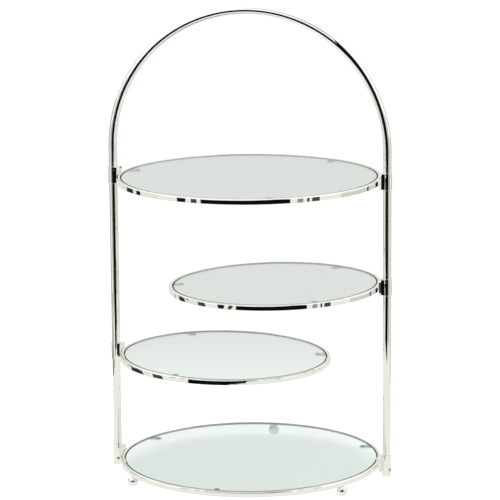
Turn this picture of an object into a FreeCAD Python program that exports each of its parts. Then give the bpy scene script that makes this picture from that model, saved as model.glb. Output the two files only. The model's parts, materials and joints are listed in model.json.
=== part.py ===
import FreeCAD, Part
import math
import os

import Sketcher
from FreeCAD import Placement, Rotation, Vector

# Tiered cake stand: an arched tube stands in two sockets on a ringed glass base. The top
# tier is clamped to both legs, and each of the two small tiers swings on one leg.
# Millimetres, +Z up, origin on the table under the middle of the stand.
# X runs from the left leg to the right leg, and -Y is the front.

# ---------------------------------------------------------------- driving dimensions
SIZES = {
    # hoop: one tube, two straight legs and a half-round bow
    "tube_radius": 5.0,
    "tube_wall": 1.5,
    "leg_foot_height": 2.4,
    "bow_height": 389.0,
    "plug_length": 18.0,
    "plug_clearance": 0.02,
    # tier rings, bent from flat bar with the glass disc set inside
    "large_ring_radius": 155.25,
    "small_ring_radius": 125.25,
    "ring_width": 4.5,
    "ring_height": 6.4,
    "ring_crown": 1.4,
    "ring_inner_round": 0.6,
    "seam_width": 0.3,
    "seam_depth": 0.25,
    "glass_gap": 1.0,
    "glass_thickness": 4.0,
    "glass_recess": 0.4,
    "glass_edge_round": 0.8,
    # heights of the ring tops above the table
    "top_tier_height": 358.0,
    "upper_tier_height": 233.0,
    "lower_tier_height": 145.0,
    # the swing tiers hang a little from their collars
    "upper_sag_degrees": 1.0,
    "lower_sag_degrees": 1.3,
    # tabs under the glass and the clear pads on them
    "tab_thickness": 1.0,
    "tab_length": 9.5,
    "tab_root_width": 13.0,
    "tab_tip_radius": 3.6,
    "pad_radius": 3.3,
    "pad_round": 0.3,
    # collars, sockets and the saddle plates that join them to the rings
    "collar_radius": 5.8,
    "collar_height": 20.0,
    "collar_clearance": 0.06,
    "collar_round": 0.3,
    "socket_bottom": 0.8,
    "socket_height": 26.0,
    "socket_floor": 1.5,
    "saddle_thickness": 2.0,
    "saddle_width": 20.0,
    "saddle_height": 18.0,
    "saddle_corner": 3.0,
    "saddle_bevel": 1.6,
    "lug_gap": 2.2,
    "socket_braze_width": 5.0,
    # grub screws
    "screw_radius": 1.45,
    "screw_hole_radius": 1.5,
    "screw_drop": 6.6,
    "screw_proud": 0.3,
    "hex_key_radius": 0.87,
    "hex_depth": 1.2,
    "dog_radius": 1.0,
    "dog_reach": 0.65,
    "groove_height": 2.4,
    "groove_depth": 0.6,
    "socket_screw_height": 8.5,
    "socket_screw_length": 4.6,
    "left_screw_angle": -73.0,
    "right_screw_angle": -40.0,
    # ball feet, flat where they stand and where they meet the ring
    "foot_radius": 6.5,
    "foot_centre_height": 6.3,
    "foot_top_height": 12.4,
    "front_foot_angle": 36.0,
}
# where the tabs stand round each ring, from its +X or from the direction of its leg
TOP_TAB_ANGLES = (57.0, 170.0, 290.0)
BOTTOM_TAB_ANGLES = (28.0, 154.0, 264.5)
UPPER_TAB_ANGLES = (184.0, 304.0, 60.0)
LOWER_TAB_ANGLES = (198.0, 302.0, 70.0)
X_AXIS, Y_AXIS, Z_AXIS = Vector(1, 0, 0), Vector(0, 1, 0), Vector(0, 0, 1)
NO_TURN = Rotation()
MARGIN = 1.0        # how far a cutting solid runs past the faces that it cuts
TINY = 0.01         # two places nearer than this are the same

doc = FreeCAD.newDocument("tiered_cake_stand")
sheet = doc.addObject("Spreadsheet::Sheet", "sizes")
for row, (alias, number) in enumerate(SIZES.items(), start=1):
    sheet.set(f"A{row}", alias)
    sheet.set(f"B{row}", str(number))
    sheet.setAlias(f"B{row}", alias)
doc.recompute()

subparts = []


def size(expression):
    """The number that an expression over the sheet's aliases gives."""
    return float(sheet.evalExpression(expression))


def on_sheet(expression):
    """The same expression written for another object, with the sheet's name before each alias."""
    words = expression.split(" ")
    return " ".join(f"sizes.{word}" if word in SIZES else word for word in words)


def bind(target, prop, expression):
    target.setExpression(prop, on_sheet(expression))


RING_MIDDLE = size("ring_height") / 2
LARGE_POST_OFFSET = size("large_ring_radius + saddle_thickness + collar_radius")
SMALL_POST_OFFSET = size("small_ring_radius + saddle_thickness + collar_radius")


# ---------------------------------------------------------------- sketch and feature helpers
def new_body(label):
    body = doc.addObject("PartDesign::Body", label)
    body.Label = label
    subparts.append(body)
    return body


def new_sketch(body, name, role, offset=Placement()):
    sketch = body.newObject("Sketcher::SketchObject", f"{body.Label}_{name}")
    plane = next(item for item in body.Origin.OriginFeatures if item.Role == role)
    sketch.AttachmentSupport = [(plane, "")]
    sketch.MapMode = "FlatFace"
    sketch.AttachmentOffset = offset
    return sketch


def constrain(sketch, name, expression, *constraint):
    """Adds a dimension to a sketch and binds it to the sheet."""
    index = sketch.addConstraint(Sketcher.Constraint(*constraint, size(expression)))
    sketch.renameConstraint(index, name)
    bind(sketch, f"Constraints.{name}", expression)


def rectangle(sketch, outer, high, inner=None, low=None):
    """A rectangle right of the vertical axis, or from it, and above the horizontal one."""
    left = size(inner) if inner else 0.0
    bottom = size(low) if low else 0.0
    right, top = size(outer), size(high)
    corners = [Vector(left, bottom), Vector(right, bottom), Vector(right, top), Vector(left, top)]
    for i in range(4):
        sketch.addGeometry(Part.LineSegment(corners[i], corners[(i + 1) % 4]), False)
    for i in range(4):
        sketch.addConstraint(Sketcher.Constraint("Coincident", i, 2, (i + 1) % 4, 1))
    for i, kind in enumerate(("Horizontal", "Vertical", "Horizontal", "Vertical")):
        sketch.addConstraint(Sketcher.Constraint(kind, i))
    if inner:
        constrain(sketch, "inner", inner, "DistanceX", -1, 1, 0, 1)
    else:
        sketch.addConstraint(Sketcher.Constraint("PointOnObject", 0, 1, -2))
    if low:
        constrain(sketch, "low", low, "DistanceY", -1, 1, 0, 1)
    else:
        sketch.addConstraint(Sketcher.Constraint("PointOnObject", 0, 1, -1))
    constrain(sketch, "outer", outer, "DistanceX", -1, 1, 1, 1)
    constrain(sketch, "high", high, "DistanceY", -1, 1, 2, 1)


def turn(body, **sides):
    """Turns a rectangle once round the body's Z axis."""
    sketch = new_sketch(body, "section", "XZ_Plane")
    rectangle(sketch, **sides)
    solid = body.newObject("PartDesign::Revolution", f"{body.Label}_turned")
    solid.Profile = sketch
    solid.ReferenceAxis = (sketch, ["V_Axis"])
    solid.Angle = 360
    doc.recompute()
    return solid


def pad(body, sketch, length, both_ways=False):
    solid = body.newObject("PartDesign::Pad", f"{body.Label}_pad")
    solid.Profile = sketch
    bind(solid, "Length", length)
    solid.Midplane = both_ways
    doc.recompute()
    return solid


def round_circles(body, base, radius, circles):
    """Rounds the circular edges that lie at the given (radius, height) places."""
    names = []
    for number, edge in enumerate(base.Shape.Edges, start=1):
        if edge.Curve.TypeId != "Part::GeomCircle":
            continue
        place = (edge.Curve.Radius, edge.Curve.Center.z)
        if any(abs(place[0] - r) < TINY and abs(place[1] - z) < TINY for r, z in circles):
            names.append(f"Edge{number}")
    if len(names) != len(circles):
        raise RuntimeError(f"{body.Label}: {len(names)} of {len(circles)} edges to round were found")
    fillet = body.newObject("PartDesign::Fillet", f"{body.Label}_round_{len(body.Group)}")
    fillet.Base = (base, names)
    bind(fillet, "Radius", radius)
    doc.recompute()
    return fillet


def cut_primitive(body, kind, placement, **sizes):
    """Cuts a box, a cylinder or a prism away and makes sure that it did cut."""
    before = body.Tip.Shape
    cutter = body.newObject(f"PartDesign::Subtractive{kind}", f"{body.Label}_cut_{len(body.Group)}")
    for prop, expression in sizes.items():
        bind(cutter, prop, expression)
    cutter.Placement = placement
    doc.recompute()
    after = body.Tip.Shape
    if len(after.Faces) == len(before.Faces) and after.Volume >= before.Volume:
        raise RuntimeError(f"{body.Label}: the {kind} cuts nothing")
    return cutter


def add_primitive(body, kind, placement, **sizes):
    solid = body.newObject(f"PartDesign::Additive{kind}", f"{body.Label}_add_{len(body.Group)}")
    for prop, expression in sizes.items():
        bind(solid, prop, expression)
    solid.Placement = placement
    doc.recompute()
    return solid


def along_x(point):
    """A placement that lays a cylinder's axis along +X from a point."""
    return Placement(point, Rotation(Z_AXIS, X_AXIS))


# ---------------------------------------------------------------- hoop
def make_hoop(label, left_groove_height, right_groove_height):
    body = new_body(label)
    tube_radius = size("tube_radius")
    left_foot = Vector(-LARGE_POST_OFFSET, 0, size("leg_foot_height"))
    section = new_sketch(body, "section", "XY_Plane", Placement(left_foot, NO_TURN))
    for name, radius in (("outside", "tube_radius"), ("bore", "tube_radius - tube_wall")):
        circle = section.addGeometry(Part.Circle(Vector(), Z_AXIS, size(radius)), False)
        section.addConstraint(Sketcher.Constraint("Coincident", circle, 3, -1, 1))
        constrain(section, name, radius, "Radius", circle)

    offset = "large_ring_radius + saddle_thickness + collar_radius"
    x, foot, bow = LARGE_POST_OFFSET, size("leg_foot_height"), size("bow_height")
    route = new_sketch(body, "route", "XZ_Plane")
    route.addGeometry(Part.LineSegment(Vector(-x, foot), Vector(-x, bow)), False)
    top = Vector(0, bow + x)
    route.addGeometry(Part.Arc(Vector(-x, bow), top, Vector(x, bow)), False)
    route.addGeometry(Part.LineSegment(Vector(x, bow), Vector(x, foot)), False)
    arc_start, arc_end = 2, 1       # the arc runs anticlockwise, from the right leg to the left
    route.addConstraint(Sketcher.Constraint("Vertical", 0))
    route.addConstraint(Sketcher.Constraint("Vertical", 2))
    route.addConstraint(Sketcher.Constraint("Coincident", 0, 2, 1, arc_start))
    route.addConstraint(Sketcher.Constraint("Coincident", 2, 1, 1, arc_end))
    route.addConstraint(Sketcher.Constraint("PointOnObject", 1, 3, -2))
    constrain(route, "bow_centre", "bow_height", "DistanceY", -1, 1, 1, 3)
    constrain(route, "bow_left_end", "bow_height", "DistanceY", -1, 1, 1, arc_start)
    constrain(route, "bow_right_end", "bow_height", "DistanceY", -1, 1, 1, arc_end)
    constrain(route, "bow_radius", offset, "Radius", 1)
    constrain(route, "left_foot", "leg_foot_height", "DistanceY", -1, 1, 0, 1)
    constrain(route, "right_foot", "leg_foot_height", "DistanceY", -1, 1, 2, 2)
    pipe = body.newObject("PartDesign::AdditivePipe", f"{label}_tube")
    pipe.Profile = section
    pipe.Spine = (route, ["Edge1", "Edge2", "Edge3"])
    pipe.Mode = "Frenet"
    doc.recompute()

    # a turned groove on each leg, in which the point of a swing tier's screw runs
    for side, height in ((-1, left_groove_height), (1, right_groove_height)):
        place = Vector(side * LARGE_POST_OFFSET, height - size("groove_height") / 2, 0)
        sketch = new_sketch(body, f"groove_{len(body.Group)}", "XZ_Plane", Placement(place, NO_TURN))
        rectangle(sketch, inner="tube_radius - groove_depth", outer=f"tube_radius + {MARGIN}",
                  high="groove_height")
        before = body.Tip.Shape.Volume
        groove = body.newObject("PartDesign::Groove", f"{label}_groove_{len(body.Group)}")
        groove.Profile = sketch
        groove.ReferenceAxis = (sketch, ["V_Axis"])
        groove.Angle = 360
        doc.recompute()
        if not body.Tip.Shape.Volume < before:
            raise RuntimeError("a groove in the hoop cuts nothing")

    # a hole through the wall of each leg for the socket's screw
    for side, angle in ((-1, size("left_screw_angle")), (1, size("right_screw_angle"))):
        place = Vector(side * LARGE_POST_OFFSET, 0, size("socket_bottom + socket_screw_height"))
        outwards = Placement(place, Rotation(Z_AXIS, angle)).multiply(along_x(Vector()))
        cut_primitive(body, "Cylinder", outwards,
                      Radius="screw_hole_radius", Height=f"tube_radius + {MARGIN}")
    wanted = math.pi * (tube_radius ** 2 - size("tube_radius - tube_wall") ** 2)
    length = 2 * (bow - foot) + math.pi * LARGE_POST_OFFSET
    if abs(body.Shape.Volume / (wanted * length) - 1) > 0.01:
        raise RuntimeError("the hoop's volume isn't its section times its length")
    return body


def make_leg_plug(label, side, screw_angle):
    """A turned steel plug in the end of a leg, tapped for the socket's screw."""
    body = new_body(label)
    turned = turn(body, outer="tube_radius - tube_wall - plug_clearance", high="plug_length")
    radius, length = size("tube_radius - tube_wall - plug_clearance"), size("plug_length")
    round_circles(body, turned, "collar_round", [(radius, length), (radius, 0)])
    foot = size("leg_foot_height")
    hole_height = size("socket_bottom + socket_screw_height") - foot
    cut_primitive(body, "Cylinder", along_x(Vector(0, 0, hole_height)),
                  Radius="screw_hole_radius", Height="tube_radius")
    body.Placement = Placement(Vector(side * LARGE_POST_OFFSET, 0, foot),
                               Rotation(Z_AXIS, size(screw_angle)))


# ---------------------------------------------------------------- collars, sockets and saddles
def make_collar(label, station):
    """A tube round a leg, with a hole towards its ring for the screw."""
    body = new_body(label)
    bore, half = size("tube_radius + collar_clearance"), size("collar_height") / 2
    sketch_floor = Placement(Vector(0, -half, 0), NO_TURN)
    section = new_sketch(body, "section", "XZ_Plane", sketch_floor)
    rectangle(section, inner="tube_radius + collar_clearance", outer="collar_radius",
              high="collar_height")
    solid = body.newObject("PartDesign::Revolution", f"{label}_turned")
    solid.Profile = section
    solid.ReferenceAxis = (section, ["V_Axis"])
    solid.Angle = 360
    doc.recompute()
    outside = size("collar_radius")
    round_circles(body, solid, "collar_round", [(outside, half), (outside, -half)])
    hole = Vector(-outside - MARGIN, 0, -size("screw_drop"))
    cut_primitive(body, "Cylinder", along_x(hole), Radius="screw_hole_radius",
                  Height=f"collar_radius - tube_radius + {2 * MARGIN}")
    body.Placement = station


def make_socket(label, side, screw_angle):
    """A closed cup in which the end of a leg stands."""
    body = new_body(label)
    cup = turn(body, outer="collar_radius", high="socket_height")
    outside, height = size("collar_radius"), size("socket_height")
    round_circles(body, cup, "collar_round", [(outside, height), (outside, 0)])
    cut_primitive(body, "Cylinder", Placement(Vector(0, 0, size("socket_floor")), NO_TURN),
                  Radius="tube_radius + collar_clearance", Height="socket_height")
    cut_primitive(body, "Cylinder", along_x(Vector(0, 0, size("socket_screw_height"))),
                  Radius="screw_hole_radius", Height=f"collar_radius + {MARGIN}")
    body.Placement = Placement(Vector(side * LARGE_POST_OFFSET, 0, size("socket_bottom")),
                               Rotation(Z_AXIS, size(screw_angle)))


def make_saddle(label, ring_radius, place, station, at_socket=False):
    """A curved plate with bevelled ends brazed to a ring, whose lug seats on a collar or a socket.

    On a collar the lug is as wide as the collar and flat-sided. On a socket it is a narrow braze.

    Its own frame has the ring's centre as origin, halfway up the ring, and X towards the leg.
    """
    body = new_body(label)
    inside, thickness, width = size(ring_radius), size("saddle_thickness"), size("saddle_width")
    section = new_sketch(body, "section", "XY_Plane")
    ends = []
    for radius, half in ((inside, width / 2), (inside + thickness, width / 2 - size("saddle_bevel"))):
        reach = (radius ** 2 - half ** 2) ** 0.5
        ends.append((Vector(reach, -half), Vector(reach, half)))
        section.addGeometry(Part.Arc(ends[-1][0], Vector(radius, 0), ends[-1][1]), False)
    for end in (0, 1):
        section.addGeometry(Part.LineSegment(ends[0][end], ends[1][end]), False)
    for arc, radius in ((0, ring_radius), (1, f"{ring_radius} + saddle_thickness")):
        section.addConstraint(Sketcher.Constraint("Coincident", arc, 3, -1, 1))
        constrain(section, f"radius_{arc}", radius, "Radius", arc)
        section.addConstraint(Sketcher.Constraint("Coincident", arc, 1, 2, arc + 1))
        section.addConstraint(Sketcher.Constraint("Coincident", arc, 2, 3, arc + 1))
        section.addConstraint(Sketcher.Constraint("Symmetric", arc, 1, arc, 2, -1))
    constrain(section, "width", "saddle_width", "DistanceY", 0, 1, 0, 2)
    constrain(section, "outer_width", "saddle_width - saddle_bevel * 2", "DistanceY", 1, 1, 1, 2)
    plate = pad(body, section, "saddle_height", both_ways=True)
    corners = [f"Edge{number}" for number, edge in enumerate(plate.Shape.Edges, start=1)
               if edge.Curve.TypeId == "Part::GeomLine"
               and abs(edge.Vertexes[0].Z - edge.Vertexes[-1].Z) < TINY]
    if len(corners) != 4:
        raise RuntimeError(f"{label}: {len(corners)} of 4 corners to round were found")
    rounded = body.newObject("PartDesign::Fillet", f"{label}_corners")
    rounded.Base = (plate, corners)
    bind(rounded, "Radius", "saddle_corner")
    doc.recompute()

    # the lug stops just short of the leg's axis, and the collar's seat is cut to its true place
    height = size("saddle_height")
    lug_width = "socket_braze_width" if at_socket else "collar_radius * 2"
    corner = Vector(inside + thickness / 2, -size(lug_width) / 2, -height / 2)
    add_primitive(body, "Box", Placement(corner, NO_TURN), Width=lug_width, Height="saddle_height",
                  Length="saddle_thickness / 2 + collar_radius - lug_gap")
    station_here = place.inverse().multiply(station)
    seat = station_here.multiply(Placement(Vector(0, 0, -height), NO_TURN))
    cut_primitive(body, "Cylinder", seat, Radius="collar_radius", Height="saddle_height * 2")
    if not at_socket:
        start = Vector(-size("collar_radius") - thickness - MARGIN, 0, -size("screw_drop"))
        cut_primitive(body, "Cylinder", station_here.multiply(along_x(start)),
                      Radius="screw_hole_radius", Height=f"saddle_thickness + {2 * MARGIN}")
    body.Placement = place


# ---------------------------------------------------------------- screws
def make_screw(label, place, length, dog_point=False):
    """An M3 grub screw. Its axis is Z, with the hexagon socket at the bottom."""
    body = new_body(label)
    add_primitive(body, "Cylinder", Placement(), Radius="screw_radius", Height=length)
    round_circles(body, body.Tip, "collar_round",
                  [(size("screw_radius"), 0), (size("screw_radius"), size(length))])
    cut_primitive(body, "Prism", Placement(), Circumradius="hex_key_radius", Height="hex_depth")
    if dog_point:
        add_primitive(body, "Cylinder", Placement(Vector(0, 0, size(length)), NO_TURN),
                      Radius="dog_radius", Height="dog_reach")
    body.Placement = place


CLAMP_LENGTH = "screw_proud + saddle_thickness + collar_radius - tube_radius - plug_clearance"
PIVOT_LENGTH = f"{CLAMP_LENGTH} - groove_depth / 2"


def screw_place(station):
    """Where a saddle's screw sits: below the ring, with its point towards the leg."""
    start = Vector(-size("collar_radius + saddle_thickness + screw_proud"), 0, -size("screw_drop"))
    return station.multiply(along_x(start))


def make_socket_screw(label, side, screw_angle):
    axis = Placement(Vector(side * LARGE_POST_OFFSET, 0, size("socket_bottom + socket_screw_height")),
                     Rotation(Z_AXIS, size(screw_angle)))
    outer_end = along_x(Vector(size("collar_radius") - size("screw_proud"), 0, 0))
    inwards = Placement(Vector(), Rotation(X_AXIS, 180))
    make_screw(label, axis.multiply(outer_end).multiply(inwards), "socket_screw_length")


# ---------------------------------------------------------------- tiers
def make_ring(label, ring_radius, place, seam_angle):
    """A flat bar bent into a ring with a rounded crown and a butt-welded seam."""
    body = new_body(label)
    bar = turn(body, inner=f"{ring_radius} - ring_width", outer=ring_radius, high="ring_height")
    outside, height = size(ring_radius), size("ring_height")
    inside = outside - size("ring_width")
    crowned = round_circles(body, bar, "ring_crown", [(outside, height)])
    eased = round_circles(body, crowned, "ring_inner_round", [(inside, height), (inside, 0)])
    round_circles(body, eased, "ring_inner_round", [(outside, 0)])
    width = size("seam_width")
    wall_seam = Placement(Vector(outside - size("seam_depth"), -width / 2, -MARGIN), NO_TURN)
    top_seam = Placement(Vector(inside - MARGIN, -width / 2, height - size("seam_depth")), NO_TURN)
    cut_primitive(body, "Box", wall_seam, Length="ring_width", Width="seam_width",
                  Height=f"ring_height + {2 * MARGIN}")
    cut_primitive(body, "Box", top_seam, Length=f"ring_width + {2 * MARGIN}", Width="seam_width",
                  Height="ring_height")
    body.Placement = place.multiply(Placement(Vector(), Rotation(Z_AXIS, seam_angle)))


def make_glass(label, ring_radius, place):
    body = new_body(label)
    radius = f"{ring_radius} - ring_width - glass_gap"
    disc = turn(body, outer=radius, high="glass_thickness")
    thickness = size("glass_thickness")
    round_circles(body, disc, "glass_edge_round", [(size(radius), 0), (size(radius), thickness)])
    rise = size("ring_height - glass_recess - glass_thickness")
    body.Placement = place.multiply(Placement(Vector(0, 0, rise), NO_TURN))


def make_tab(label, ring_radius, place, angle):
    """A tapered strip with a round tip, brazed inside a ring level with its bottom."""
    body = new_body(label)
    inside = f"{ring_radius} - ring_width"
    wall, root, tip = size(inside), size("tab_root_width") / 2, size("tab_tip_radius")
    tip_centre = Vector(wall - size("tab_length"), 0)
    wall_reach = (wall ** 2 - root ** 2) ** 0.5
    section = new_sketch(body, "section", "XY_Plane")
    section.addGeometry(Part.Arc(Vector(wall_reach, -root), Vector(wall, 0),
                                 Vector(wall_reach, root)), False)
    section.addGeometry(Part.Arc(tip_centre + Vector(0, tip), tip_centre - Vector(tip, 0),
                                 tip_centre - Vector(0, tip)), False)
    section.addGeometry(Part.LineSegment(Vector(wall_reach, root), tip_centre + Vector(0, tip)), False)
    section.addGeometry(Part.LineSegment(tip_centre - Vector(0, tip), Vector(wall_reach, -root)), False)
    section.addConstraint(Sketcher.Constraint("Coincident", 0, 3, -1, 1))
    section.addConstraint(Sketcher.Constraint("PointOnObject", 1, 3, -1))
    section.addConstraint(Sketcher.Constraint("Coincident", 0, 2, 2, 1))
    section.addConstraint(Sketcher.Constraint("Tangent", 2, 2, 1, 1))
    section.addConstraint(Sketcher.Constraint("Tangent", 1, 2, 3, 1))
    section.addConstraint(Sketcher.Constraint("Coincident", 3, 2, 0, 1))
    section.addConstraint(Sketcher.Constraint("Symmetric", 0, 1, 0, 2, -1))
    constrain(section, "wall", inside, "Radius", 0)
    constrain(section, "tip", "tab_tip_radius", "Radius", 1)
    constrain(section, "root", "tab_root_width", "DistanceY", 0, 1, 0, 2)
    constrain(section, "reach", f"{inside} - tab_length", "DistanceX", -1, 1, 1, 3)
    pad(body, section, "tab_thickness")
    body.Placement = place.multiply(Placement(Vector(), Rotation(Z_AXIS, angle)))


def make_pad(label, ring_radius, place, angle):
    """A clear bumper between a tab and the glass."""
    body = new_body(label)
    height = "ring_height - glass_recess - glass_thickness - tab_thickness"
    disc = turn(body, outer="pad_radius", high=height)
    round_circles(body, disc, "pad_round", [(size("pad_radius"), size(height))])
    spot = Vector(size(f"{ring_radius} - ring_width - tab_length"), 0, size("tab_thickness"))
    body.Placement = place.multiply(Placement(Vector(), Rotation(Z_AXIS, angle))).multiply(
        Placement(spot, NO_TURN))


def make_tier(tier, ring_radius, place, seam_angle, tab_angles):
    make_ring(f"{tier}_ring", ring_radius, place, seam_angle)
    make_glass(f"{tier}_glass", ring_radius, place)
    for number, angle in enumerate(tab_angles, start=1):
        make_tab(f"{tier}_tab_{number}", ring_radius, place, angle)
        make_pad(f"{tier}_pad_{number}", ring_radius, place, angle)


def station_on_leg(side, tier_height):
    """The middle of a collar on a leg, with X pointing away from the ring that it holds."""
    turned = Rotation(Z_AXIS, 0 if side > 0 else 180)
    return Placement(Vector(side * LARGE_POST_OFFSET, 0, size(tier_height) - RING_MIDDLE), turned)


def make_swing_tier(tier, side, tier_height, sag, seam_angle, tab_angles):
    """A small tier brazed to one collar, which turns on its leg."""
    station = station_on_leg(side, tier_height)
    hung = station.multiply(Placement(Vector(), Rotation(Y_AXIS, -size(sag))))
    middle = hung.multiply(Placement(Vector(-SMALL_POST_OFFSET, 0, 0), NO_TURN))
    underside = middle.multiply(Placement(Vector(0, 0, -RING_MIDDLE), NO_TURN))
    make_tier(tier, "small_ring_radius", underside, seam_angle, tab_angles)
    make_collar(f"{tier}_collar", station)
    make_saddle(f"{tier}_saddle", "small_ring_radius", middle, station)
    make_screw(f"{tier}_pivot_screw", screw_place(station), PIVOT_LENGTH, dog_point=True)


def make_foot(label, angle):
    """A ball under the middle of the base ring's bar, flat at the table and at the ring."""
    body = new_body(label)
    radius, centre, top = size("foot_radius"), size("foot_centre_height"), size("foot_top_height")
    add_primitive(body, "Sphere", Placement(Vector(0, 0, centre), NO_TURN), Radius="foot_radius")
    for floor in (-2 * radius, top):
        corner = Vector(-radius - MARGIN, -radius - MARGIN, floor)
        cut_primitive(body, "Box", Placement(corner, NO_TURN), Length=f"foot_radius * 2 + {2 * MARGIN}",
                      Width=f"foot_radius * 2 + {2 * MARGIN}", Height="foot_radius * 2")
    reach = size("large_ring_radius - ring_width / 2")
    turned = Placement(Vector(), Rotation(Z_AXIS, angle))
    body.Placement = turned.multiply(Placement(Vector(reach, 0, 0), NO_TURN))


# ---------------------------------------------------------------- the stand
SIDES = (("left", -1), ("right", 1))
screw_level = RING_MIDDLE + size("screw_drop")
make_hoop("hoop_tube", left_groove_height=size("lower_tier_height") - screw_level,
          right_groove_height=size("upper_tier_height") - screw_level)

base = Placement(Vector(0, 0, size("foot_top_height")), NO_TURN)
base_middle = Placement(Vector(0, 0, size("foot_top_height") + RING_MIDDLE), NO_TURN)
make_tier("bottom", "large_ring_radius", base, seam_angle=80, tab_angles=BOTTOM_TAB_ANGLES)
top_underside = Placement(Vector(0, 0, size("top_tier_height - ring_height")), NO_TURN)
top_middle = Placement(Vector(0, 0, size("top_tier_height") - RING_MIDDLE), NO_TURN)
make_tier("top", "large_ring_radius", top_underside, seam_angle=100, tab_angles=TOP_TAB_ANGLES)

for name, side in SIDES:
    angle = f"{name}_screw_angle"
    make_leg_plug(f"leg_plug_{name}", side, angle)
    make_socket(f"socket_{name}", side, angle)
    make_socket_screw(f"socket_screw_{name}", side, angle)
    turned = Placement(Vector(), Rotation(Z_AXIS, 0 if side > 0 else 180))
    base_station = Placement(Vector(side * LARGE_POST_OFFSET, 0, base_middle.Base.z), turned.Rotation)
    make_saddle(f"socket_saddle_{name}", "large_ring_radius", base_middle.multiply(turned),
                base_station, at_socket=True)
    top_station = station_on_leg(side, "top_tier_height")
    make_collar(f"top_collar_{name}", top_station)
    make_saddle(f"top_saddle_{name}", "large_ring_radius", top_middle.multiply(turned), top_station)
    make_screw(f"top_screw_{name}", screw_place(top_station), CLAMP_LENGTH)

make_swing_tier("upper", 1, "upper_tier_height", "upper_sag_degrees", seam_angle=192,
                tab_angles=UPPER_TAB_ANGLES)
make_swing_tier("lower", -1, "lower_tier_height", "lower_sag_degrees", seam_angle=149,
                tab_angles=LOWER_TAB_ANGLES)

make_foot("foot_ball_left", 180 + size("front_foot_angle"))
make_foot("foot_ball_right", -size("front_foot_angle"))
make_foot("foot_ball_back", 90)

# ---------------------------------------------------------------- checks and files
doc.recompute()
for item in doc.Objects:
    if "Invalid" in item.State or "Error" in item.State:
        raise RuntimeError(f"{item.Label} failed: {item.State}")
for subpart in subparts:
    shape = subpart.Shape
    if shape.isNull() or not shape.isValid() or len(shape.Solids) != 1:
        raise RuntimeError(f"{subpart.Label} isn't one valid solid")

os.makedirs("parts", exist_ok=True)
for subpart in subparts:
    subpart.Shape.exportStep(os.path.join("parts", f"{subpart.Label}.step"))
print(f"{len(subparts)} sub-parts written")
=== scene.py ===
import json
import math

import bpy
from mathutils import Matrix, Vector


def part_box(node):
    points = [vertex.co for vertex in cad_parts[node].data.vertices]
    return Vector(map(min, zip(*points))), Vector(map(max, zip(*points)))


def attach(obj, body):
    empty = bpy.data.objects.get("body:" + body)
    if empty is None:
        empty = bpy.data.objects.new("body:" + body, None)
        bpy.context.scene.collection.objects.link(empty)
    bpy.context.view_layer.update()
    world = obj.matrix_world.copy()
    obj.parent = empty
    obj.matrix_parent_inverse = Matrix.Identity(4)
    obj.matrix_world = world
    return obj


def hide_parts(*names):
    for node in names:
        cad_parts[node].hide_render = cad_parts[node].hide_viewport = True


# Looks of a tiered cake stand: an arched tube, four ringed glass tiers, ball feet.
# Metres, +Z up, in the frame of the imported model.

MM = 0.001
UP, BACKWARDS = Vector((0, 0, 1)), Vector((0, 1, 0))

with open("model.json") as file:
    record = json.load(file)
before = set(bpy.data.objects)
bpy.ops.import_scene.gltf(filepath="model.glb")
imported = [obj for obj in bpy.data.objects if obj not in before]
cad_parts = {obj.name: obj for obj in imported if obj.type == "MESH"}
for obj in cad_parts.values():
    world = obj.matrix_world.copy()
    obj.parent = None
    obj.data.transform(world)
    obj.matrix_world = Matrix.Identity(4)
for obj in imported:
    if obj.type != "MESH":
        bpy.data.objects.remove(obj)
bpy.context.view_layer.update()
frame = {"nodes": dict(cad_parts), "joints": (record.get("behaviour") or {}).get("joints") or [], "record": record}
nodes = frame["nodes"]
joints = {joint["name"]: joint for joint in frame["joints"]}
scene = bpy.context.scene


# ---------------------------------------------------------------- camera
CAMERA_PLACE = Vector((0.598, -3.142, 0.926))
CAMERA_YAW = math.radians(10.766)
CAMERA_PITCH = math.radians(-11.614)
CAMERA_ROLL = math.radians(-0.43)
CAMERA_LENS, CAMERA_SENSOR = 200.0, 36.0
FRONT = Vector((CAMERA_PLACE.x, CAMERA_PLACE.y, 0)).normalized()       # level, towards the camera


def make_camera():
    data = bpy.data.cameras.new("camera")
    data.lens = CAMERA_LENS
    data.sensor_width = CAMERA_SENSOR
    camera = bpy.data.objects.new("camera", data)
    scene.collection.objects.link(camera)
    turn = Matrix.Rotation(CAMERA_YAW, 4, "Z") @ Matrix.Rotation(math.pi / 2 + CAMERA_PITCH, 4, "X")
    camera.matrix_world = Matrix.Translation(CAMERA_PLACE) @ turn @ Matrix.Rotation(CAMERA_ROLL, 4, "Z")
    scene.camera = camera
    return camera


# ---------------------------------------------------------------- node helpers
# the colour sockets of the Mix node: its factor and its two colours, and the mixed colour
COLOUR_MIX_INPUTS, COLOUR_MIX_OUTPUT = (0, 6, 7), 2


class NodeTree:
    """A short way to write the node tree of a material or of the world."""

    def __init__(self, tree):
        self.tree = tree

    def add(self, kind, inputs=None, **settings):
        node = self.tree.nodes.new(kind)
        for key, value in settings.items():
            setattr(node, key, value)
        for key, value in (inputs or {}).items():
            self.feed(node, key, value)
        return node

    def feed(self, node, key, value):
        socket = node.inputs[key]
        if isinstance(value, bpy.types.NodeSocket):
            self.tree.links.new(value, socket)
        else:
            socket.default_value = value

    def ramp(self, value, low, high, to_low=0.0, to_high=1.0, kind="LINEAR"):
        node = self.add("ShaderNodeMapRange", {"Value": value, "From Min": low, "From Max": high,
                                               "To Min": to_low, "To Max": to_high},
                        interpolation_type=kind)
        return node.outputs["Result"]

    def mix_colour(self, factor, first, second):
        node = self.add("ShaderNodeMix", data_type="RGBA")
        for socket, value in zip(COLOUR_MIX_INPUTS, (factor, first, second)):
            self.feed(node, socket, value)
        return node.outputs[COLOUR_MIX_OUTPUT]


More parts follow.
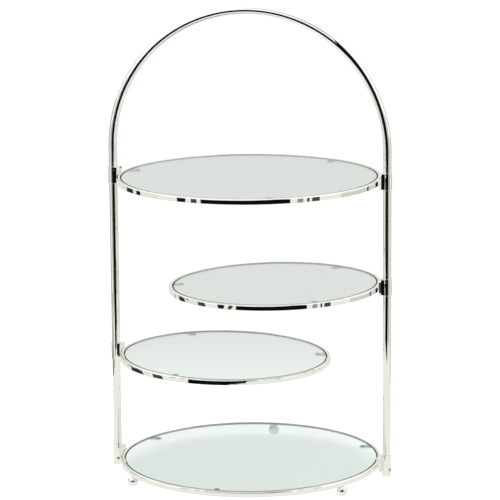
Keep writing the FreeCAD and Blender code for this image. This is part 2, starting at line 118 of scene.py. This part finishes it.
class Nodes(NodeTree):
    """The node tree of a new material."""

    def __init__(self, name):
        self.material = bpy.data.materials.new(name)
        self.material.use_nodes = True
        super().__init__(self.material.node_tree)
        self.tree.nodes.clear()
        self.output = self.add("ShaderNodeOutputMaterial")

    def noise(self, scale, detail=2.0, roughness=0.5):
        place = self.add("ShaderNodeTexCoord").outputs["Object"]
        inputs = {"Vector": place, "Scale": scale, "Detail": detail, "Roughness": roughness}
        return self.add("ShaderNodeTexNoise", inputs).outputs["Fac"]

    def bump(self, height, strength, distance):
        node = self.add("ShaderNodeBump", {"Height": height, "Strength": strength,
                                           "Distance": distance})
        return node.outputs["Normal"]

    def finish(self, shader):
        self.feed(self.output, "Surface", shader)
        return self.material


# ---------------------------------------------------------------- materials
def chrome_material():
    n = Nodes("polished_chrome")
    clouds = n.noise(18.0, detail=3.0)
    colour = n.mix_colour(clouds, (0.91, 0.91, 0.875, 1), (0.95, 0.945, 0.92, 1))
    smears = n.noise(90.0, detail=4.0, roughness=0.6)
    roughness = n.ramp(smears, 0.35, 0.75, 0.01, 0.05)
    # the plating follows the small unevenness of the bar under it
    unevenness = n.noise(60.0, detail=2.0, roughness=0.4)
    normal = n.bump(unevenness, 0.25, 0.2 * MM)
    shader = n.add("ShaderNodeBsdfPrincipled", {"Base Color": colour, "Metallic": 1.0,
                                                "Roughness": roughness, "Normal": normal})
    return n.finish(shader.outputs["BSDF"])


def satin_material():
    """The tabs under the glass, taken to be matt plated, which is paler there than a polish."""
    n = Nodes("satin_chrome")
    grind = n.noise(400.0, detail=3.0)
    colour = n.mix_colour(grind, (0.92, 0.93, 0.90, 1), (0.97, 0.97, 0.95, 1))
    roughness = n.ramp(grind, 0.3, 0.7, 0.28, 0.42)
    shader = n.add("ShaderNodeBsdfPrincipled", {"Base Color": colour, "Metallic": 0.55,
                                                "Roughness": roughness})
    return n.finish(shader.outputs["BSDF"])


def see_through(n, glass, tint):
    """Lets lamps through a glass shader, a little tinted, so that its shadow stays pale."""
    clear = n.add("ShaderNodeBsdfTransparent", {"Color": tint})
    path = n.add("ShaderNodeLightPath")
    mix = n.add("ShaderNodeMixShader")
    n.feed(mix, 0, path.outputs["Is Shadow Ray"])
    n.feed(mix, 1, glass)
    n.feed(mix, 2, clear.outputs["BSDF"])
    return n.finish(mix.outputs["Shader"])


def glass_material():
    n = Nodes("clear_glass")
    smudges = n.noise(14.0, detail=5.0, roughness=0.65)
    roughness = n.ramp(smudges, 0.5, 0.8, 0.0, 0.05)
    glass = n.add("ShaderNodeBsdfPrincipled", {"Base Color": (0.66, 0.71, 0.69, 1), "IOR": 1.52,
                                               "Transmission Weight": 1.0, "Roughness": roughness})
    return see_through(n, glass.outputs["BSDF"], (0.96, 0.98, 0.97, 1))


def ground_edge_shade_material():
    """The ground edge of a glass disc, painted near black and almost without reflection, as painted shade for the
    dark line in the gap between the glass and the ring.
    """
    n = Nodes("painted_shade_glass_edge")
    grind = n.noise(900.0, detail=3.0)
    # painted shade: the edge is near black so that the gap line reads dark
    colour = n.mix_colour(grind, (0.003, 0.007, 0.006, 1), (0.010, 0.018, 0.015, 1))
    roughness = n.ramp(grind, 0.3, 0.7, 0.35, 0.55)
    shader = n.add("ShaderNodeBsdfPrincipled", {"Base Color": colour, "Roughness": roughness,
                                                "Specular IOR Level": 0.1})
    return n.finish(shader.outputs["BSDF"])


def painted_shade_wall_material():
    """The inner wall of a ring behind the glass, painted near black as painted shade, so that the gap between the
    glass and the ring reads as a dark line.
    """
    n = Nodes("painted_shade_inner_wall")
    patches = n.noise(300.0, detail=3.0)
    # painted shade: a near-black wall, so that the gap beside the glass looks dark
    colour = n.mix_colour(patches, (0.010, 0.011, 0.010, 1), (0.035, 0.036, 0.034, 1))
    roughness = n.ramp(patches, 0.3, 0.7, 0.4, 0.6)
    shader = n.add("ShaderNodeBsdfPrincipled", {"Base Color": colour, "Metallic": 0.6,
                                                "Roughness": roughness})
    return n.finish(shader.outputs["BSDF"])


def bumper_material():
    n = Nodes("clear_bumper")
    bubbles = n.noise(900.0, detail=1.0)
    roughness = n.ramp(bubbles, 0.4, 0.7, 0.12, 0.3)
    shader = n.add("ShaderNodeBsdfPrincipled", {"Base Color": (0.95, 0.97, 0.96, 1), "IOR": 1.43,
                                                "Transmission Weight": 0.9, "Roughness": roughness})
    return see_through(n, shader.outputs["BSDF"], (0.95, 0.97, 0.96, 1))


def steel_material(name, dark, light, low, high):
    n = Nodes(name)
    marks = n.noise(700.0, detail=3.0)
    colour = n.mix_colour(marks, dark, light)
    roughness = n.ramp(marks, 0.3, 0.7, low, high)
    shader = n.add("ShaderNodeBsdfPrincipled", {"Base Color": colour, "Metallic": 1.0,
                                                "Roughness": roughness})
    return n.finish(shader.outputs["BSDF"])


def floor_material():
    n = Nodes("pale_floor")
    grain = n.noise(3.0, detail=4.0)
    colour = n.mix_colour(grain, (0.93, 0.93, 0.93, 1), (0.95, 0.95, 0.95, 1))
    place = n.add("ShaderNodeTexCoord").outputs["Object"]
    away = n.add("ShaderNodeVectorMath", {0: place}, operation="LENGTH").outputs["Value"]
    # painted light: the floor glows most under the stand, which lifts the shadow there
    painted_glow = n.ramp(away, GLOW_FROM, GLOW_TO, FLOOR_GLOW, FAR_GLOW)
    shader = n.add("ShaderNodeBsdfPrincipled", {"Base Color": colour, "Roughness": 0.9,
                                                "Specular IOR Level": 0.1,
                                                "Emission Color": (1, 1, 1, 1),
                                                "Emission Strength": painted_glow})
    return n.finish(shader.outputs["BSDF"])


def card_material(name, colour):
    """A studio card of one colour that only reflections see."""
    n = Nodes(name)
    shader = n.add("ShaderNodeEmission", {"Color": (*colour, 1), "Strength": 1.0})
    return n.finish(shader.outputs["Emission"])


# ---------------------------------------------------------------- studio
FLOOR_HALF = 9.0
# a pool of light painted into the floor as glow: strongest under the stand, where it lifts the stand's shadow, and
# less and less away from it
FLOOR_GLOW, FAR_GLOW, GLOW_FROM, GLOW_TO = 0.64, 0.10, 0.17, 0.75
FLOOR_SEEN = (0.88, 0.885, 0.83)        # the floor as the chrome reflects it
# the unlit end of the studio behind the camera: its left and right edges on the floor and on its
# wall, in degrees, and how high the wall rises, from each direction to a height in metres
ROOM_NEAR, ROOM_FAR = 0.60, 1.07
ROOM_FLOOR_EDGES, ROOM_WALL_EDGES = (-39.0, 17.0), (-39.0, 33.0)
ROOM_TOP = ((-39.0, 0.56), (-10.0, 0.68), (0.0, 0.68), (10.0, 0.95), (33.0, 1.45))
# dark stands beside the white screens, fitted so that the rings reflect them, in whole degrees. Each
# has a direction and a width, its foot's direction and width, where the foot begins, its height and
# its grey level. The third is only a low strip on the floor.
STANDS = ((-118, 11, -94, 28, 0.60, 0.55, 0.03),
          (-104, 6, -104, 5, 1.00, 0.55, 0.01),
          (-83, 10, -67, 14, 0.60, 0.01, 0.06),
          (-56, 8, -56, 4, 0.90, 0.55, 0.01),
          (-45, 5, -47, 2, 0.95, 0.55, 0.06),
          (41, 5, 41, 5, 0.80, 0.55, 0.30),
          (48, 2, 47, 2, 0.80, 0.55, 0.02),
          (55, 7, 55, 7, 0.80, 0.55, 0.06),
          (117, 3, 116, 3, 0.80, 0.55, 0.02))
# a dark boom overhead that widens down to the right: direction, elevation, half width in degrees
BOOM = ((-30.0, 50.0, 2.0), (0.0, 49.0, 5.5), (15.0, 46.0, 7.5), (33.0, 39.0, 10.0))
BOOM_CENTRE, BOOM_REACH = Vector((0, 0, 0.45)), 1.20
BACK_EDGE = 83.0            # the white screens end here, and the dimmer far end begins
FAR_LEFT, FAR_RIGHT = (0.80, 0.82, 0.74), (0.66, 0.67, 0.60)
LOW_SKY = (0.80, 0.81, 0.77)
SCREEN_LEVEL = 1.1
BACK_BLUR, FRONT_BLUR = 0.10, 0.04      # how softly the far end begins, as cosines
# the sines of the heights where the overhead screen begins and where it is full
SCREEN_FOOT, SCREEN_FULL = 0.30, 0.55
SOFTBOX_PLACE, SOFTBOX_SIZE, SOFTBOX_POWER = (0.3, -0.4, 2.6), 2.0, 10.0
DARK = (0.004, 0.004, 0.004)
FLOOR_LEVEL, ROOM_LEVEL, STAND_LEVEL = 1 * MM, 2 * MM, 3 * MM      # the cards lie over one another
CARD_STEPS = 48


def mesh_object(name, points, faces, material):
    mesh = bpy.data.meshes.new(name)
    mesh.from_pydata([tuple(p) for p in points], [], faces)
    mesh.materials.append(material)
    piece = bpy.data.objects.new(name, mesh)
    scene.collection.objects.link(piece)
    return piece


def make_floor():
    h = FLOOR_HALF
    floor = mesh_object("floor", [(-h, -h, 0), (h, -h, 0), (h, h, 0), (-h, h, 0)], [(0, 1, 2, 3)],
                        floor_material())


def only_reflected(card):
    card.visible_camera = False
    card.visible_diffuse = False
    card.visible_transmission = False
    card.visible_volume_scatter = False
    card.visible_shadow = False


def towards_camera(angle):
    """A level direction, in degrees from the camera's side; positive is to its right."""
    return Matrix.Rotation(math.radians(angle), 3, "Z") @ FRONT


def height_at(angle, outline):
    """The height of an outline of (angle, height) points at an angle, straight between points."""
    for (a, low), (b, high) in zip(outline, outline[1:]):
        if a <= angle <= b:
            return low + (high - low) * (angle - a) / (b - a)
    raise ValueError(f"{angle} is outside the outline")


def sector_card(name, edges, inner, outer, colour, wall_edges=None, outline=None,
                low=ROOM_LEVEL):
    """A sector of the floor from inner to outer, with a wall at outer where it has an outline."""
    points, faces = [], []
    steps = CARD_STEPS
    far = wall_edges or edges
    for i in range(steps + 1):
        near_angle = edges[0] + (edges[1] - edges[0]) * i / steps
        angle = far[0] + (far[1] - far[0]) * i / steps
        way = towards_camera(angle)
        top = height_at(angle, outline) if outline else low
        points += [towards_camera(near_angle) * inner + UP * low, way * outer + UP * low,
                   way * outer + UP * top]
    for i in range(steps):
        a = 3 * i
        faces.append((a, a + 3, a + 4, a + 1))
        if outline:
            faces.append((a + 1, a + 4, a + 5, a + 2))
    card = mesh_object(name, points, faces, card_material(name, colour))
    only_reflected(card)


def make_cards():
    sector_card("floor_card", (-180.0, 180.0), 0.0, FLOOR_HALF, FLOOR_SEEN, low=FLOOR_LEVEL)
    sector_card("dark_room_card", ROOM_FLOOR_EDGES, ROOM_NEAR, ROOM_FAR, DARK,
                ROOM_WALL_EDGES, ROOM_TOP)
    sector_card("far_card_left", (-180.0, -BACK_EDGE), ROOM_NEAR, FLOOR_HALF, FAR_LEFT)
    sector_card("far_card_right", (BACK_EDGE, 180.0), ROOM_NEAR, FLOOR_HALF, FAR_RIGHT)
    for number, stand in enumerate(STANDS, start=1):
        angle, width, foot_angle, foot_width, near, height, level = stand
        wall = (angle - width / 2, angle + width / 2)
        foot = (foot_angle - foot_width / 2, foot_angle + foot_width / 2)
        outline = tuple((edge, height) for edge in wall)
        sector_card(f"stand_card_{number}", foot, near, ROOM_FAR, (level, level, level), wall,
                    outline, low=STAND_LEVEL)
    make_boom()


def make_boom():
    points = []
    for angle, elevation, half in BOOM:
        for height in (elevation - half, elevation + half):
            level = math.radians(height)
            points.append(BOOM_CENTRE + BOOM_REACH * (towards_camera(angle) * math.cos(level)
                                                      + UP * math.sin(level)))
    faces = [(2 * i, 2 * i + 2, 2 * i + 3, 2 * i + 1) for i in range(len(BOOM) - 1)]
    card = mesh_object("boom_card", points, faces, card_material("boom_card", DARK))
    only_reflected(card)


def make_world():
    """White for the eye and for diffuse light; what is reflected is dimmer low at the far end."""
    world = bpy.data.worlds.new("studio")
    scene.world = world
    world.use_nodes = True
    background = world.node_tree.nodes["Background"]
    w = NodeTree(world.node_tree)
    direction = w.add("ShaderNodeTexCoord").outputs["Generated"]

    def along(way, low, high):
        share = w.add("ShaderNodeVectorMath", {0: direction, 1: way}, operation="DOT_PRODUCT")
        return w.ramp(share.outputs["Value"], low, high, kind="SMOOTHSTEP")

    screen = (SCREEN_LEVEL, SCREEN_LEVEL, SCREEN_LEVEL, 1)
    edge = math.cos(math.radians(BACK_EDGE))
    in_front = along(FRONT, edge - BACK_BLUR, edge + FRONT_BLUR)
    overhead = along(UP, SCREEN_FOOT, SCREEN_FULL)
    low_down = w.mix_colour(in_front, (*LOW_SKY, 1), screen)
    reflected = w.mix_colour(overhead, low_down, screen)
    path = w.add("ShaderNodeLightPath")
    bright = w.mix_colour(path.outputs["Is Glossy Ray"], (1, 1, 1, 1), reflected)
    seen = w.mix_colour(path.outputs["Is Transmission Ray"], bright, reflected)
    w.feed(background, "Strength", 1.0)
    w.feed(background, "Color", seen)


def make_lights():
    make_world()
    area = bpy.data.lights.new("top_softbox", "AREA")
    area.shape, area.size = "SQUARE", SOFTBOX_SIZE
    area.energy = SOFTBOX_POWER
    light = bpy.data.objects.new("top_softbox", area)
    light.location = SOFTBOX_PLACE
    light.visible_glossy = False
    scene.collection.objects.link(light)


# ---------------------------------------------------------------- new pieces
FLAT_FIRST = 100            # the weight that lets large flat faces settle the normals


def middle_of(node):
    low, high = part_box(node)
    return (low + high) / 2


def add_piece(name, points, faces, materials, faces_of, node, body):
    """A smooth mesh in place of a CAD node. faces_of gives each face's material by its number."""
    mesh = bpy.data.meshes.new(name)
    mesh.from_pydata([tuple(p) for p in points], [], faces)
    for material in materials:
        mesh.materials.append(material)
    for number, face in enumerate(mesh.polygons):
        face.use_smooth = True
        face.material_index = faces_of(number)
    mesh.update()
    piece = bpy.data.objects.new(name, mesh)
    scene.collection.objects.link(piece)
    weights = piece.modifiers.new("flat_faces_first", "WEIGHTED_NORMAL")
    weights.weight = FLAT_FIRST
    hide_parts(node)
    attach(piece, body)
    return piece


def follow(outline, radius, start, end, steps=6):
    """Goes on from an outline's last point with an arc; the angles are those of its outward normal."""
    first = math.radians(start)
    centre = (outline[-1][0] - radius * math.cos(first), outline[-1][1] - radius * math.sin(first))
    for i in range(1, steps + 1):
        angle = math.radians(start + (end - start) * i / steps)
        outline.append((centre[0] + radius * math.cos(angle), centre[1] + radius * math.sin(angle)))


def lathe(sections, turn):
    """Joins closed sections, each at its own angle round Z, into a closed ring."""
    points, faces = [], []
    count, steps = len(sections[0][1]), len(sections)
    for angle, section in sections:
        points += [turn @ Vector((radius * math.cos(angle), radius * math.sin(angle), height))
                   for radius, height in section]
    for i in range(steps):
        a, b = i * count, (i + 1) % steps * count
        for j in range(count):
            k = (j + 1) % count
            faces.append((a + j, b + j, b + k, a + k))
    return points, faces


# ---------------------------------------------------------------- rings and discs
TIERS = {"bottom": "frame", "top": "frame", "upper": "upper_swing_tier", "lower": "lower_swing_tier"}
RING_WIDTH, RING_HEIGHT = 4.5 * MM, 6.4 * MM
CROWN, EASE = 1.4 * MM, 0.6 * MM
DOME_FROM, DOME_TO = 65.0, 110.0        # the normals between which the bar's top is gently domed
SEAM_HALF, SEAM_DEPTH = 0.15 * MM, 0.25 * MM
SEAMS = {"bottom": 80.0, "top": 100.0, "upper": 192.0, "lower": 329.0}
# how a bent bar strays from a circle: waves in a turn, their size and where they begin in radians
BEND_WAVES = ((7, 0.020 * MM, 0.4), (17, 0.012 * MM, 1.9), (31, 0.006 * MM, 4.1))
BEND_SHIFT = 1.3            # radians by which each tier's waves begin after the last one's
SEAM_BOTTOM = 0.6           # the share of the seam's width that its bottom takes
RING_STEPS, DISC_STEPS = 384, 256
GLASS_THICKNESS, GLASS_CHAMFER = 4.0 * MM, 0.8 * MM


def tier_turn(tier):
    """The tier's middle plane: its centre, with Z along the axis that its disc lifts along."""
    axis = Vector(joints[f"{tier}_disc_lift"]["axis"]).normalized()
    tilt = UP.rotation_difference(axis).to_matrix().to_4x4()
    return Matrix.Translation(middle_of(f"{tier}_ring")) @ tilt


def bend_unevenness(tier):
    """How a bar bent by hand strays from a circle, never outwards of it."""
    shift = BEND_SHIFT * list(TIERS).index(tier)
    most = sum(wave[1] for wave in BEND_WAVES)
    return lambda angle: sum(size * math.sin(count * angle + start + shift)
                             for count, size, start in BEND_WAVES) - most


def bar_section(outer, half, inset=0.0):
    """The bar's closed section, with its wall and top set in by an amount where the seam is."""
    rise = [math.sin(math.radians(angle)) for angle in (DOME_FROM, DOME_TO)]
    reach = [math.cos(math.radians(angle)) for angle in (DOME_FROM, DOME_TO)]
    dome = (RING_WIDTH - CROWN * (1 - reach[0]) - EASE * (1 + reach[1])) / (reach[0] - reach[1])
    wall_top = half - CROWN * rise[0] - dome * (1 - rise[0])
    inner = outer - RING_WIDTH
    outline = [(outer - EASE - inset, -half)]
    follow(outline, EASE, -90, 0)
    outline.append((outer - inset, wall_top - inset))
    follow(outline, CROWN, 0, DOME_FROM, steps=8)
    follow(outline, dome, DOME_FROM, DOME_TO, steps=8)
    outline.append((inner + EASE * (1 + reach[1]), outline[-1][1]))
    follow(outline, EASE, DOME_TO, 180, steps=5)
    outline.append((inner, -half + EASE))
    follow(outline, EASE, 180, 270)
    return outline


def make_ring(tier, chrome, wall_shade):
    low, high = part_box(f"{tier}_ring")
    outer, half = (high.y - low.y) / 2, RING_HEIGHT / 2
    uneven = bend_unevenness(tier)
    seam, steps = math.radians(SEAMS[tier]), RING_STEPS
    gap = SEAM_HALF / outer
    deep = gap * SEAM_BOTTOM
    stations = [(seam + offset, inset) for offset, inset in
                ((-gap, 0.0), (-deep, SEAM_DEPTH), (deep, SEAM_DEPTH), (gap, 0.0))]
    stations += [(seam + 2 * math.pi * i / steps, 0.0) for i in range(1, steps)]
    sections = [(angle, bar_section(outer + uneven(angle), half, inset)) for angle, inset in stations]
    points, faces = lathe(sections, tier_turn(tier))
    section = sections[0][1]

    def inner_length(j):
        """How long a side of the section is, if it begins on the upper half of the inner wall."""
        if section[j][0] < outer - RING_WIDTH / 2 and section[j][1] > 0:
            return math.dist(section[j], section[(j + 1) % len(section)])
        return 0.0

    wall = max(range(len(section)), key=inner_length)
    # the inner wall's faces take the painted shade material, the rest is chrome
    add_piece(f"{tier}_ring_bar", points, faces, [chrome, wall_shade],
              lambda number: int(number % len(section) == wall), f"{tier}_ring", TIERS[tier])


def make_disc(tier, glass, edge):
    low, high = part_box(f"{tier}_glass")
    radius, half, ease = (high.y - low.y) / 2, GLASS_THICKNESS / 2, GLASS_CHAMFER
    axis = tier_turn(tier)
    axis.translation = middle_of(f"{tier}_glass")
    rim = [(radius - ease, -half), (radius, -half + ease), (radius, half - ease), (radius - ease, half)]
    steps, count = DISC_STEPS, len(rim)
    points, faces, kinds = [], [], []
    for i in range(steps):
        angle = 2 * math.pi * i / steps
        points += [axis @ Vector((r * math.cos(angle), r * math.sin(angle), z)) for r, z in rim]
    for i in range(steps):
        a, b = i * count, (i + 1) % steps * count
        for j in range(count - 1):
            faces.append((a + j, b + j, b + j + 1, a + j + 1))
            kinds.append(1 if j == 1 else 0)
    faces.append(tuple(i * count for i in reversed(range(steps))))
    faces.append(tuple(i * count + count - 1 for i in range(steps)))
    kinds += [0, 0]
    piece = add_piece(f"{tier}_disc", points, faces, [glass, edge], lambda number: kinds[number],
                      f"{tier}_glass", f"{tier}_disc")
    for face in piece.data.polygons:
        face.use_smooth = False


# ---------------------------------------------------------------- hoop
LEG_STEPS, BOW_STEPS, TUBE_SIDES = 40, 192, 64


def make_hoop_tube(chrome):
    """The outside of the tube: its bore, holes and grooves are hidden and left out."""
    low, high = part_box("hoop_tube")
    socket_low, socket_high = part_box("socket_left")
    leg_x = -(socket_low.x + socket_high.x) / 2
    radius = high.x - leg_x
    bow = high.z - radius - leg_x
    leg = bow - low.z
    stations = [(Vector((-leg_x, 0, low.z + leg * i / LEG_STEPS)), 0.0) for i in range(LEG_STEPS)]
    for i in range(BOW_STEPS + 1):
        angle = math.pi * i / BOW_STEPS
        stations.append((Vector((-leg_x * math.cos(angle), 0, bow + leg_x * math.sin(angle))), angle))
    stations += [(Vector((leg_x, 0, bow - leg * (i + 1) / LEG_STEPS)), math.pi)
                 for i in range(LEG_STEPS)]
    around = TUBE_SIDES
    points, faces = [], []
    for place, angle in stations:
        outwards = Vector((-math.cos(angle), 0, math.sin(angle)))
        for j in range(around):
            spin = 2 * math.pi * j / around
            side = math.cos(spin) * outwards + math.sin(spin) * BACKWARDS
            points.append(place + radius * side)
    for i in range(len(stations) - 1):
        a, b = i * around, (i + 1) * around
        for j in range(around):
            k = (j + 1) % around
            faces.append((a + j, a + k, b + k, b + j))
    faces.append(tuple(range(around)))
    faces.append(tuple(reversed(range((len(stations) - 1) * around, len(stations) * around))))
    add_piece("hoop", points, faces, [chrome], lambda number: 0, "hoop_tube", "frame")


# ---------------------------------------------------------------- materials onto the nodes
def dress():
    # the second material is the painted shade of the rings' inner walls
    chrome, wall_shade = chrome_material(), painted_shade_wall_material()
    glass, edge, satin = glass_material(), ground_edge_shade_material(), satin_material()
    turned = steel_material("turned_steel", (0.5, 0.5, 0.5, 1), (0.62, 0.62, 0.6, 1), 0.2, 0.35)
    black = steel_material("black_screw", (0.03, 0.03, 0.032, 1), (0.07, 0.07, 0.07, 1), 0.25, 0.45)
    look = {"chrome": chrome, "glass": glass, "clear_bumper": bumper_material(),
            "plain_steel": turned, "black_steel": black}
    for part in frame["record"]["subparts"]:
        piece = nodes[part["node"]]
        piece.data.materials.clear()
        is_tab = "_tab_" in part["node"]
        piece.data.materials.append(satin if is_tab else look[part["material_slot"]])
        for face in piece.data.polygons:
            face.material_index = 0
    for tier in TIERS:
        make_ring(tier, chrome, wall_shade)
        make_disc(tier, glass, edge)
    make_hoop_tube(chrome)


scene.view_settings.view_transform = "Standard"
make_camera()
make_floor()
make_cards()
make_lights()
dress()
